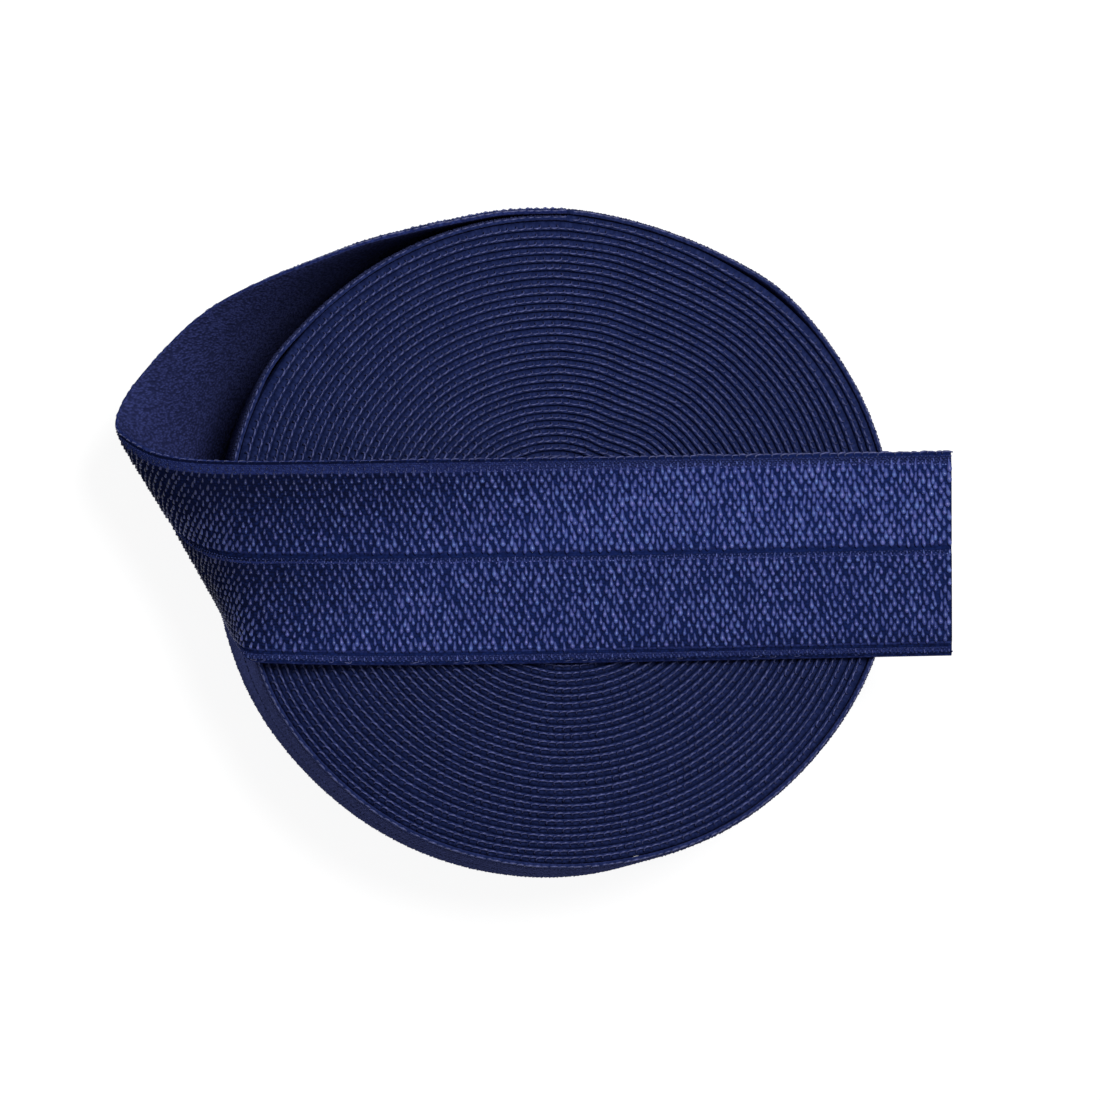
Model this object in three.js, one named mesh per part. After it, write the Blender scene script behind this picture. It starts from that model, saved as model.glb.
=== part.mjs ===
// A roll of narrow fold-over elastic tape. The roll lies flat on its wound face, and the loose end
// leaves the outermost turn, loops out at the left and lies across the top of the roll.
// Millimetres, +Z up. The origin is the centre of the roll's underside.
import * as THREE from "three";

// Driving dimensions
const tapeWidth = 20; // a three-quarter inch tape, and so the height of the roll
const rollRadius = 32.2; // outside of the wound turns, where they lie snugly
const softEdge = 0.35; // rounding of the outermost turn's two edges
const sheetThickness = 1; // the loose end as a solid sheet
const stepBearing = 89.2; // where the outermost turn ends and the loose end takes over
const stepSpan = 0.4; // degrees that the step down to the turn below takes
const stripEnd = 37.8; // where the loose end is cut off square, to the right of the roll

// Fineness of the curved surfaces
const outlineSteps = 180;
const stepsPerBend = 6;
const stepsAcross = 6;

// The outermost turn, once round from the step. Its radius differs from rollRadius by foot at the
// underside and by rim at the top. It bulges at the left, where the turns have worked loose.
const outlineRows = [
  { bearing: stepBearing + stepSpan, foot: -1.3, rim: -1.3 },
  { bearing: 100, foot: -1.1, rim: -1.1 },
  { bearing: 118, foot: -0.3, rim: 0 },
  { bearing: 138, foot: 0.3, rim: 0.9 },
  { bearing: 150, foot: 0.5, rim: 1.45 },
  { bearing: 166, foot: 0.4, rim: 1.25 },
  { bearing: 180, foot: 0.2, rim: 0.6 },
  { bearing: 200, foot: 0, rim: 0 },
  { bearing: 330, foot: 0, rim: 0 },
  { bearing: 390, foot: 0.1, rim: 0.1 },
  { bearing: 430, foot: -0.4, rim: -0.4 },
  { bearing: stepBearing + 360, foot: -0.05, rim: -0.05 },
];

// A point beside the roll, given by its bearing from +X in degrees, its radius and its height
function aroundRoll(bearing, radius, height) {
  const angle = THREE.MathUtils.degToRad(bearing);
  return [radius * Math.cos(angle), radius * Math.sin(angle), height];
}

// The loose end bends along straight lines across it. Each row is one such line, by the place of
// its end on the tape's upper edge and of its end on the lower edge.
const bendRows = [
  { upper: [0, 31.8, 20], lower: [0, 31.8, 0] },
  { upper: [-5.6, 31.65, 20], lower: aroundRoll(100, 32.05, 0.03) },
  { upper: [-10.4, 30.8, 20], lower: aroundRoll(109, 32.4, 0.07) },
  { upper: [-15.3, 29.7, 20], lower: aroundRoll(118.5, 32.8, 0.15) },
  { upper: [-20.1, 28.2, 19.8], lower: aroundRoll(128.5, 33.1, 0.3) },
  { upper: [-24.9, 26.4, 19.2], lower: aroundRoll(138.5, 33.4, 0.6) },
  { upper: [-29.7, 24.3, 18.2], lower: aroundRoll(149, 33.65, 1) },
  { upper: [-34.3, 21.7, 17], lower: aroundRoll(160, 33.65, 1.8) },
  { upper: [-38.8, 17.7, 15.6], lower: aroundRoll(173, 33.55, 3.6) },
  { upper: [-42.2, 13.4, 15], lower: aroundRoll(184, 33.4, 6.8) },
  { upper: [-43.35, 10.9, 16.2], lower: aroundRoll(191, 33.4, 9.8) },
  { upper: [-42.7, 9.4, 18.8], lower: aroundRoll(194.5, 33.4, 12) },
  { upper: [-40.6, 8, 21.2], lower: aroundRoll(197, 33.5, 14.4) },
  { upper: [-37.4, 7.3, 22.5], lower: aroundRoll(199.5, 33.7, 18) },
  { upper: [-33, 7.1, 22.9], lower: aroundRoll(201.6, 33.1, 21.3) },
  { upper: [-27, 7.2, 22.3], lower: [-27.3, -12.4, 22.4] },
  { upper: [-19, 7.45, 21.3], lower: [-18.8, -12.45, 21.3] },
  { upper: [0, 7.9, 20.85], lower: [0, -12.1, 20.85] },
  { upper: [stripEnd, 8.85, 20.85], lower: [stripEnd, -11.15, 20.85] },
];

const navyTurns = new THREE.MeshStandardMaterial({ color: 0x1f2450, roughness: 0.75, metalness: 0 });
const navyTape = new THREE.MeshStandardMaterial({ color: 0x2b3a78, roughness: 0.5, metalness: 0 });

// A closed mesh from lists of vertices and of vertex triples
function closedMesh(name, vertices, triangles, material) {
  const geometry = new THREE.BufferGeometry();
  geometry.setAttribute("position", new THREE.Float32BufferAttribute(vertices.flat(), 3));
  geometry.setIndex(triangles.flat());
  geometry.computeVertexNormals();
  const mesh = new THREE.Mesh(geometry, material);
  mesh.name = name;
  return mesh;
}

// A smooth line through a table's rows, as points
function throughRows(points, count) {
  const line = new THREE.CatmullRomCurve3(points, false, "centripetal");
  return Array.from({ length: count + 1 }, (_, i) => line.getPoint(i / count));
}

// The wound turns as one solid: the outline at four levels, with a flat face above and below
function woundRoll() {
  const rows = outlineRows.map((row) => new THREE.Vector3(row.bearing, row.foot, row.rim));
  const outline = throughRows(rows, outlineSteps - 1);
  const levels = [
    { height: 0, inset: softEdge },
    { height: softEdge, inset: 0 },
    { height: tapeWidth - softEdge, inset: 0 },
    { height: tapeWidth, inset: softEdge },
  ];
  const vertices = levels.flatMap(({ height, inset }) =>
    outline.map(({ x: bearing, y: foot, z: rim }) => {
      const off = THREE.MathUtils.lerp(foot, rim, height / tapeWidth);
      return aroundRoll(bearing, rollRadius + off - inset, height);
    })
  );
  const underside = vertices.push([0, 0, 0]) - 1;
  const topside = vertices.push([0, 0, tapeWidth]) - 1;
  const topRing = (levels.length - 1) * outlineSteps;
  const triangles = [];
  for (let i = 0; i < outlineSteps; i++) {
    const next = (i + 1) % outlineSteps;
    for (let ring = 0; ring < topRing; ring += outlineSteps) {
      const above = ring + outlineSteps;
      triangles.push([ring + i, ring + next, above + next], [ring + i, above + next, above + i]);
    }
    triangles.push([underside, next, i], [topside, topRing + i, topRing + next]);
  }
  return closedMesh("wound_roll", vertices, triangles, navyTurns);
}

// The loose end as a sheet: straight across between its two edge lines, thickened to both sides
function looseEnd() {
  const count = (bendRows.length - 1) * stepsPerBend;
  const upper = throughRows(bendRows.map((row) => new THREE.Vector3(...row.upper)), count);
  const lower = throughRows(bendRows.map((row) => new THREE.Vector3(...row.lower)), count);
  const middle = (i, j) => upper[i].clone().lerp(lower[i], j / stepsAcross);
  const sheetNormal = (i, j) => {
    const along = middle(Math.min(i + 1, count), j).sub(middle(Math.max(i - 1, 0), j));
    const across = lower[i].clone().sub(upper[i]);
    return along.cross(across).normalize();
  };
  const width = stepsAcross + 1;
  const vertices = [];
  for (const side of [-1, 1]) {
    for (let i = 0; i <= count; i++) {
      for (let j = 0; j < width; j++) {
        const point = middle(i, j).addScaledVector(sheetNormal(i, j), (side * sheetThickness) / 2);
        vertices.push(point.toArray());
      }
    }
  }
  const face = (count + 1) * width;
  const triangles = [];
  const quad = (a, b, c, d) => triangles.push([a, b, c], [a, c, d]);
  for (let i = 0; i < count; i++) {
    const a = i * width;
    const b = a + width;
    for (let j = 0; j < stepsAcross; j++) {
      quad(a + j, a + j + 1, b + j + 1, b + j);
      quad(face + a + j, face + b + j, face + b + j + 1, face + a + j + 1);
    }
    quad(a, b, face + b, face + a);
    quad(a + stepsAcross, face + a + stepsAcross, face + b + stepsAcross, b + stepsAcross);
  }
  const last = count * width;
  for (let j = 0; j < stepsAcross; j++) {
    quad(j, face + j, face + j + 1, j + 1);
    quad(last + j, last + j + 1, face + last + j + 1, face + last + j);
  }
  return closedMesh("loose_end", vertices, triangles, navyTape);
}

const roll = new THREE.Group();
roll.add(woundRoll(), looseEnd());

export default roll;
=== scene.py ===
"""A roll of narrow fold-over elastic tape, at its real size, in metres.

The tape is one long strip: a knitted ground with satin yarn floats on its outer face, a brushed
plush back, a plain fold line down its middle and a thinner selvedge along each edge. It is wound
with the satin face outwards, and its loose end loops out at the left and lies across the top.
"""

import math
from collections import namedtuple
from functools import partial

import bmesh
import bpy
import numpy as np
from mathutils import Matrix, Vector


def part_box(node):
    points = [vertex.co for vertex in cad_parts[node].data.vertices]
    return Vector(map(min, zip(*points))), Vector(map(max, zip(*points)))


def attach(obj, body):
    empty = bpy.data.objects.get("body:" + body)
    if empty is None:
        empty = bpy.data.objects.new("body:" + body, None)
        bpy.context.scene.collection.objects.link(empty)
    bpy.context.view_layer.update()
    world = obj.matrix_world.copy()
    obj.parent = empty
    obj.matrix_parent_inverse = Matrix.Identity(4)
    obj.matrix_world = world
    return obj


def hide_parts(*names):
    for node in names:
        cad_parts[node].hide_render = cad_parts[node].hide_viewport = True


bl_info = {
    "name": "Roll of Elastic Tape",
    "version": (1, 0, 0),
    "blender": (4, 5, 0),
    "location": "3D View > Sidebar > Elastic Tape",
    "description": "Fold-over elastic wound into a flat roll, its loose end laid over the top",
    "category": "Add Mesh",
}

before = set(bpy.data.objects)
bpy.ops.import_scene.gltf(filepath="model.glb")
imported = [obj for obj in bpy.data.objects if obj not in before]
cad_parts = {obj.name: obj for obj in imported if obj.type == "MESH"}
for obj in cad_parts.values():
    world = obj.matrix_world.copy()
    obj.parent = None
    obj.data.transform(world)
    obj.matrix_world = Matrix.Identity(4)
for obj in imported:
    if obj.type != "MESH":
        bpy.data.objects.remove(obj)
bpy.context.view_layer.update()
ROLL_LOW, ROLL_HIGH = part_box("wound_roll")
MM = 0.001

# How the roll lies. Bearings are in degrees from +X, lengths in millimetres.
ROLL_RADIUS = 32.2  # outside of the outermost turn, where it lies snugly
ROLL_HEIGHT = (ROLL_HIGH.z - ROLL_LOW.z) / MM
TAKE_OFF = 450.0  # bearing where the outermost turn ends and the loose end begins

# The outermost turn, once round. Foot and rim are how far its underside and its top stand out
# past the roll's radius. Room, second and third are the steps in to the next three turns.
Outline = namedtuple("Outline", "bearing foot rim room second third")
OUTLINE = (
    Outline(90, -0.55, -0.55, 0.96, 0.84, 0.86),
    Outline(100, -0.35, -0.35, 0.94, 0.82, 0.82),
    Outline(110, -0.12, -0.12, 0.92, 0.76, 0.86),
    Outline(118, 0.0, 0.1, 0.9, 0.86, 0.78),
    Outline(126, 0.15, 0.34, 0.92, 0.92, 0.72),
    Outline(134, 0.25, 0.59, 0.94, 0.86, 0.74),
    Outline(142, 0.35, 0.99, 1.04, 0.86, 0.82),
    Outline(150, 0.5, 1.5, 1.3, 0.84, 0.86),
    Outline(158, 0.5, 1.42, 1.0, 0.88, 0.82),
    Outline(168, 0.45, 1.4, 0.98, 0.88, 0.82),
    Outline(180, 0.3, 0.95, 0.8, 0.82, 0.78),
    Outline(196, 0.2, 0.35, 0.68, 0.74, 0.76),
    Outline(208, 0.2, 0.8, 0.66, 0.72, 0.74),
    Outline(225, 0.05, 0.7, 0.66, 0.72, 0.74),
    Outline(240, 0.12, 0.55, 0.68, 0.74, 0.76),
    Outline(260, 0.3, 0.08, 0.66, 0.72, 0.78),
    Outline(280, 0.5, -0.08, 0.78, 0.72, 0.82),
    Outline(300, 0.22, 0.16, 0.86, 0.76, 0.82),
    Outline(320, 0.2, 0.2, 0.86, 0.75, 0.9),
    Outline(338, 0.3, 0.37, 1.02, 0.72, 0.96),
    Outline(380, 0.3, 0.35, 0.84, 0.76, 1.02),
    Outline(396, 0.25, 0.3, 0.94, 0.74, 0.98),
    Outline(410, 0.25, 0.34, 1.28, 0.78, 0.78),
    Outline(420, -0.15, -0.13, 1.08, 0.79, 0.77),
    Outline(430, -0.38, -0.35, 0.88, 0.82, 0.8),
    Outline(440, -0.25, -0.25, 0.74, 0.84, 0.74),
    Outline(TAKE_OFF, 0.1, 0.1, 0.7, 0.96, 0.84),
)
MIDDLE_LAYER = 0.3  # from the roll's outside in to the tape's middle layer
FOLD_DEPTH = 9.8  # of the fold line, below the tape's upper edge
LEAST_SPACING = 0.72  # between two inner turns pressed together
LARGEST_FOOT_STEP = 0.8  # from a turn to the next one in, on the table
MOST_SWELL = 0.25  # of an inner turn's hidden satin side into spare room
MOST_TURNS = 60  # laid out from the outside in, before those inside the eye are left out
LOOSEST_BEARING = 155  # where the outer turns have worked loosest
LOOSENESS = 0.03  # how much further apart they lie there
UNEVENNESS = 0.05  # of the spacing, round and round the roll
UNEVEN_PERIODS = (37, 61, 97, 151, 229)  # in degrees, so that no turn repeats another
CLOTH_WAVES = 0.05  # how far the loose end strays, as limp cloth does
STITCH_END = 0.15  # from the last stitch to the tape's cut end
FIELD_LEAST = 0.25  # the ground under the floats stands out at least this far
GROOVE_MOST = 0.14  # a groove or a thin edge stands out at most this far
SWELLS_FROM = 0.2  # what stands out further on an inner turn swells into spare room

CURVE_STEPS = 40  # points from one row of a table to the next, on the smooth line through them
HALVINGS = 28  # of the search for a place's row, to less than a ten-thousandth of it
WOUND_STEP, OUTERMOST_STEP, LOOSE_STEP = 1.05, 0.9, 0.6  # from row to row along each sheet
FIELD_DEPTHS = np.arange(1.5, 18.6, 0.6)  # more points across the field, to follow the cloth
EDGE_CLOTH, PLUSH_CLOTH, FIELD_CLOTH, SELVEDGE_CLOTH = range(4)  # material slots of a sheet


def around_roll(bearing, radius, height):
    """A point beside the roll, in millimetres."""
    angle = math.radians(bearing)
    return (radius * math.cos(angle), radius * math.sin(angle), height)


# The loose end bends along straight lines across it. Each row is one such line, by the place of
# its end on the tape's upper edge and of its end on the lower edge, in millimetres.
Bend = namedtuple("Bend", "upper lower")
BENDS = (
    Bend(upper=(0, 32.0, 20), lower=(0, 32.0, 0)),
    Bend(upper=(-5.6, 31.83, 20), lower=around_roll(100, 32.15, 0.03)),
    Bend(upper=(-10.4, 31.0, 20), lower=around_roll(109, 32.3, 0.07)),
    Bend(upper=(-15.3, 29.93, 20), lower=around_roll(118.5, 32.47, 0.1)),
    Bend(upper=(-20.1, 28.62, 19.8), lower=around_roll(128.5, 32.64, 0.15)),
    Bend(upper=(-25.0, 26.85, 19.2), lower=around_roll(138.5, 32.74, 0.22)),
    Bend(upper=(-29.95, 24.85, 18.2), lower=around_roll(149, 32.86, 0.42)),
    Bend(upper=(-34.7, 22.25, 17), lower=around_roll(160, 32.92, 1.3)),
    Bend(upper=(-39.25, 18.1, 15.6), lower=around_roll(173, 32.88, 3.6)),
    Bend(upper=(-42.75, 13.6, 15), lower=around_roll(184, 32.75, 6.8)),
    Bend(upper=(-43.75, 11.0, 16.2), lower=around_roll(191, 32.7, 9.8)),
    Bend(upper=(-42.85, 9.45, 18.8), lower=around_roll(194.5, 32.9, 12)),
    Bend(upper=(-40.6, 8, 21.2), lower=around_roll(197, 33.05, 14.4)),
    Bend(upper=(-37.4, 7.3, 22.5), lower=around_roll(199.5, 33.4, 18)),
    Bend(upper=(-33, 7.1, 22.9), lower=around_roll(201.6, 33.1, 21.3)),
    Bend(upper=(-27, 7.2, 22.3), lower=(-27.3, -12.4, 22.4)),
    Bend(upper=(-19, 7.45, 21.3), lower=(-18.8, -12.45, 21.3)),
    Bend(upper=(0, 7.9, 20.85), lower=(0, -12.1, 20.85)),
    Bend(upper=(37.8, 8.85, 20.85), lower=(37.8, -11.15, 20.85)),
)

# The tape cut across, in millimetres: how far its satin side and its plush side stand from its
# middle layer, at each depth below its upper edge. The selvedges taper to a thin edge on the
# plush side, and the fold line is a groove in the satin side. Where a row doesn't say, the plush
# side stands 0.3 mm in.
Cut = namedtuple("Cut", "depth satin plush", defaults=(-0.3,))
TAPE_CUT = (
    Cut(depth=0.0, satin=-0.05, plush=-0.26),
    Cut(depth=0.12, satin=0.07),
    Cut(depth=0.26, satin=-0.02),
    Cut(depth=0.4, satin=0.13),
    Cut(depth=1.15, satin=0.18),
    Cut(depth=1.35, satin=0.26),
    Cut(depth=9.0, satin=0.26),
    Cut(depth=9.2, satin=0.1),
    Cut(depth=9.5, satin=0.06),
    Cut(depth=9.95, satin=0.14),
    Cut(depth=10.15, satin=0.26),
    Cut(depth=18.6, satin=0.26),
    Cut(depth=18.8, satin=0.12),
    Cut(depth=19.1, satin=0.14),
    Cut(depth=19.55, satin=0.15),
    Cut(depth=19.88, satin=0.07),
    Cut(depth=20.0, satin=-0.05, plush=-0.26),
)
# The same for the inner turns, whose faces are hidden between their neighbours
WOUND_CUT = (
    Cut(depth=0.06, satin=-0.17, plush=-0.26),
    Cut(depth=0.18, satin=-0.1, plush=-0.35),
    Cut(depth=0.34, satin=0.1, plush=-0.36),
    Cut(depth=0.5, satin=0.34, plush=-0.36),
    Cut(depth=19.5, satin=0.34, plush=-0.36),
    Cut(depth=19.66, satin=0.1, plush=-0.36),
    Cut(depth=19.82, satin=-0.1, plush=-0.35),
    Cut(depth=19.94, satin=-0.17, plush=-0.26),
)

# Small yarn shapes, in millimetres, each a row of cross-sections from one end to the other. Along,
# down and out place a cross-section's middle from the stitch's own middle: along the tape, down
# across it and out from it. Wide and thick are half sizes. What a row leaves out is 0.
Slice = namedtuple("Slice", "along down out wide thick", defaults=(0,) * 5)
SATIN_FLOAT = (
    Slice(down=-0.66, out=-0.05),
    Slice(down=-0.42, out=0.0, wide=0.13, thick=0.06),
    Slice(down=-0.14, out=0.04, wide=0.17, thick=0.09),
    Slice(down=0.06, out=0.08, wide=0.21, thick=0.14),
    Slice(down=0.24, out=0.04, wide=0.18, thick=0.11),
    Slice(down=0.48, out=-0.05),
)
# A float rubbed flat on the roll's wall
WALL_FLOAT = (
    Slice(down=-0.68, out=-0.02),
    Slice(down=-0.3, out=0.0, wide=0.21, thick=0.05),
    Slice(down=0.3, out=0.0, wide=0.21, thick=0.05),
    Slice(down=0.68, out=-0.02),
)
# The edge stitch runs along the edge in a low arch and turns down over the satin side. In the
# roll its leg is squeezed between the turns, and stands out to the turn around it.
LAID_EDGE_STITCH = (
    Slice(along=-0.41, down=0.22, out=0.24, wide=0.05, thick=0.03),
    Slice(along=-0.4, down=0.06, out=0.22, wide=0.07, thick=0.05),
    Slice(along=-0.3, down=-0.01, out=0.16, wide=0.08, thick=0.08),
    Slice(along=0.05, down=-0.04, out=0.14, wide=0.09, thick=0.1),
    Slice(along=0.42, down=0.0, out=0.15, wide=0.06, thick=0.06),
)
EDGE_STITCH = (
    Slice(along=-0.34, down=0.28, out=0.32, wide=0.1, thick=0.04),
    Slice(along=-0.4, down=0.13, out=0.18, wide=0.1, thick=0.05),
    Slice(along=-0.35, down=-0.01, out=0.03, wide=0.09, thick=0.08),
    Slice(along=0.05, down=-0.05, out=-0.04, wide=0.09, thick=0.1),
    Slice(along=0.46, down=0.0, out=0.01, wide=0.065, thick=0.07),
)
PLAIN_EDGE_STITCH = (
    Slice(along=-0.24, down=0.32, out=0.5, wide=0.07, thick=0.05),
    Slice(along=-0.38, down=0.04, out=0.06, wide=0.08, thick=0.08),
    Slice(along=0.05, down=-0.05, out=-0.04, wide=0.09, thick=0.1),
    Slice(along=0.46, down=0.0, out=0.01, wide=0.07, thick=0.07),
)
# A short stitch on the selvedges and the fold line
TICK = (
    Slice(down=-0.28, out=-0.02),
    Slice(down=-0.1, out=0.03, wide=0.08, thick=0.06),
    Slice(down=0.18, out=0.06, wide=0.1, thick=0.09),
    Slice(down=0.3, out=-0.02),
)
# The head of a float's column, drawn in tight
DOT = (
    Slice(down=-0.14, out=-0.02),
    Slice(out=0.04, wide=0.13, thick=0.1),
    Slice(down=0.14, out=-0.02),
)
# A loop of the knitted ground
GRAIN = (
    Slice(down=-0.16, out=-0.03),
    Slice(out=0.03, wide=0.17, thick=0.1),
    Slice(down=0.16, out=-0.03),
)

# Rows of stitches on the tape. First depth and out are in millimetres, out from the tape's middle
# layer. Pitch is in row pitches, spacing and shift in stitch spacings, and turn in degrees.
Stitch = namedtuple("Stitch", "part shape yarn first_depth rows pitch spacing shift out turn")
FACE_ROWS = (
    Stitch("upper_floats", "float", "satin", 1.55, 13, 1, 1, 0, 0.27, 0),
    Stitch("lower_floats", "float", "satin", 10.5, 14, 1, 1, 0, 0.27, 0),
    Stitch("upper_heads", "dot", "satin", 1.24, 1, 1, 0.5, 0, 0.22, 0),
    Stitch("fold_heads", "dot", "satin", 10.12, 1, 1, 0.5, 0, 0.24, 0),
    Stitch("upper_ticks", "tick", "satin", 0.86, 1, 1, 1, 0.09, 0.2, 0),
    Stitch("fold_ticks", "tick", "satin", 9.86, 1, 1, 1, 0.09, 0.14, 0),
    Stitch("lower_ticks", "tick", "satin", 19.38, 1, 1, 1, 0.09, 0.17, 0),
    Stitch("upper_grain", "grain", "ground_yarn", 0.5, 4, 0.3, 0.5, 0, 0.16, 0),
    Stitch("lower_grain", "grain", "ground_yarn", 19.2, 3, 0.33, 0.5, 0, 0.15, 0),
    Stitch("fold_grain", "grain", "ground_yarn", 9.72, 2, 0.36, 0.5, 0, 0.1, 0),
)
EDGE_ROWS = (
    Stitch("upper_edge", "edge", "edge", 0.06, 1, 1, 1, 0, -0.15, 0),
    Stitch("lower_edge", "edge", "edge", 19.74, 1, 1, 1, 0, -0.15, 180),
)

# How long, wide and thick a stitch is, as a gain with its fullness and a least value
PLUMPNESS = ((0.38, 0.72), (0.48, 0.56), (0.25, 0.8))
SATIN_STRAY = 0.11  # how far slack satin floats lie from their places, in millimetres
GROUND_STRAY = 0.05  # the same for stitches that the ground holds

# Patterns of the materials, by how many of their lumps a millimetre holds, and below those by
# the length and the width of one
# The satin's painted sheen comes and goes in these patches
PAINTED_SHEEN_PATCHES = 0.26 / MM  # the satin's shine is uneven, in patches of about 4 mm
YARN_TURNS = 1.9 / MM  # a float turns its colour about twice in a millimetre
FILAMENTS = 9 / MM  # bundles of filaments, coarser than the real ones so that they show
# Painted glints of the textured yarns
PAINTED_GLINTS = 4.2 / MM  # turns of textured yarn, about 0.25 mm
TEXTURED_FILAMENTS = 7 / MM
NAP_PATCHES = 0.35 / MM  # the nap lies another way every 3 mm
GROUND_LOOP = (0.405 * MM, 0.27 * MM, 1)  # half a stitch spacing, and less than half a row pitch
PLUSH_TUFT = (0.2 * MM, 0.36 * MM, 1)

# The stage. The soft light stands high up to the upper right.
KEY_PLACE = Vector((0.16, 0.24, 0.9))
KEY_TARGET = Vector((0, 0, 0.02))
VIEW_MIDDLE = Vector((-1.7, -1.1, ROLL_HEIGHT)) * MM


def linear(hex_colour):
    """The linear colour of an sRGB hex value such as "#2b3a78", with alpha."""
    channels = [int(hex_colour[i : i + 2], 16) / 255 for i in (1, 3, 5)]
    curve = [c / 12.92 if c <= 0.04045 else ((c + 0.055) / 1.055) ** 2.4 for c in channels]
    return (*curve, 1.0)


def darker(colour, share):
    """A share of a linear colour's light."""
    return (*(share * c for c in colour[:3]), 1.0)


def length_setting(name, description, default):
    """A length property, in metres."""
    return bpy.props.FloatProperty(
        name=name, description=description, default=default, min=0, precision=5, unit="LENGTH"
    )


def colour_setting(name, description, default):
    """A colour property from an sRGB hex value."""
    return bpy.props.FloatVectorProperty(
        name=name,
        description=description,
        default=linear(default),
        size=4,
        min=0,
        max=1,
        subtype="COLOR",
    )


class TapeSizes(bpy.types.PropertyGroup):
    """Sizes of the tape and of its stitches"""

    layer_spacing: length_setting("Layer spacing", "From one inner turn to the next", 0.00074)
    outer_spacing: length_setting("Outer layer spacing", "The same, in the outer turns", 0.00078)
    eye_radius: length_setting("Eye radius", "Inside of the innermost turn", 0.0014)
    stitch_spacing: length_setting("Stitch spacing", "From stitch to stitch along it", 0.00081)
    row_pitch: length_setting("Row pitch", "From one row of floats to the next", 0.00061)
    seed: bpy.props.IntProperty(
        name="Seed", description="Picks the unevenness of the stitches", default=7, min=0
    )


class TapeColours(bpy.types.PropertyGroup):
    """Colours of the tape's yarns"""

    # Colour of the float heads, where a painted highlight lies on each crest
    satin: colour_setting("Satin yarn", "Heads of the floats on the outer face", "#4f66aa")
    satin_violet: colour_setting("Satin yarn, violet", "The same where it turns", "#5a5da4")
    # Painted shade on the float tails
    satin_tail_shade: colour_setting("Satin yarn, deep", "The rest of each float", "#2e3c82")
    # Deeper painted shade on the tails, where the painted sheen is low and the floats are drawn flat
    satin_flat_shade: colour_setting("Satin yarn, flat", "The same where it is drawn flat", "#131a42")
    ground: colour_setting("Ground", "Knitted ground where no floats cover it", "#2c386e")
    # Painted shade between the selvedge's loops
    ground_painted_shade: colour_setting("Ground, dull", "The same between its loops", "#181f4a")
    # Ground under the floats where the painted sheen is strong
    field: colour_setting("Field", "Knitted ground under full floats", "#162354")
    # Painted shade of the ground under the floats, between its loops and where the painted sheen is low
    field_painted_shade: colour_setting("Field, dull", "Knitted ground under flat floats", "#0b1029")
    wound: colour_setting("Wound edges", "Knitted ground between the turns", "#2a3462")
    # Painted shade between the loops of the wound edges
    wound_painted_shade: colour_setting("Wound edges, dull", "The same between its loops", "#192249")
    # Lit colour of the plush tufts; between them it goes to a painted shade of 40% of this
    plush: colour_setting("Plush", "Brushed back of the tape", "#383f74")
    wall: colour_setting("Wall", "Outermost turn, rubbed matte", "#424978")
    # Painted shade between the loops of the wall
    wall_painted_shade: colour_setting("Wall, dull", "The same between its loops", "#2f3661")
    # These two yarns carry painted glints, with painted shade away from their crests
    edge: colour_setting("Edge yarn", "Stitches along the edges", "#525a94")
    ground_yarn: colour_setting("Ground yarn", "Small stitches of the selvedges", "#3c4884")


class StageSettings(bpy.types.PropertyGroup):
    """Camera, light and floor"""

    distance: length_setting("Camera distance", "From the middle of the view", 0.8)
    tilt: bpy.props.FloatProperty(
        name="Camera tilt",
        description="Angle between the view and the roll's axis",
        default=math.radians(8.9),
        subtype="ANGLE",
    )
    bearing: bpy.props.FloatProperty(
        name="Camera bearing",
        description="Side of the roll that the camera leans towards",
        default=math.radians(200.7),
        subtype="ANGLE",
    )
    view_width: length_setting("View width", "Width of the view at its middle", 0.1068)
    floor_size: length_setting("Floor size", "Side of the pale floor", 4.0)
    key_power: bpy.props.FloatProperty(
        name="Key light", description="Power of the soft light", default=7.4, min=0, unit="POWER"
    )
    table_glow: bpy.props.FloatProperty(
        name="Table glow",
        description="How brightly the table is lit from below, which keeps its shadow faint",
        default=0.9,
        min=0,
    )
    sky: bpy.props.FloatProperty(
        name="Surround", description="Strength of the white surround", default=0.32, min=0
    )


MATH = "ShaderNodeMath"
VECTOR_MATH = "ShaderNodeVectorMath"
STORED = "GeometryNodeInputNamedAttribute"


def add_node(tree, kind, sockets=(), take=None, **settings):
    """Adds a node with its settings, and fills or links its sockets by name or in order. Gives
    its output in use, by name where it has several."""
    node = tree.nodes.new(kind)
    for name, value in settings.items():
        setattr(node, name, value)
    for key, value in sockets.items() if isinstance(sockets, dict) else enumerate(sockets):
        if isinstance(key, str):
            socket = next(s for s in node.inputs if s.enabled and s.name == key)
        else:
            socket = node.inputs[key]
        if isinstance(value, bpy.types.NodeSocket):
            tree.links.new(value, socket)
        else:
            socket.default_value = value
    return next((s for s in node.outputs if s.enabled and take in (None, s.name)), None)


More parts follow.
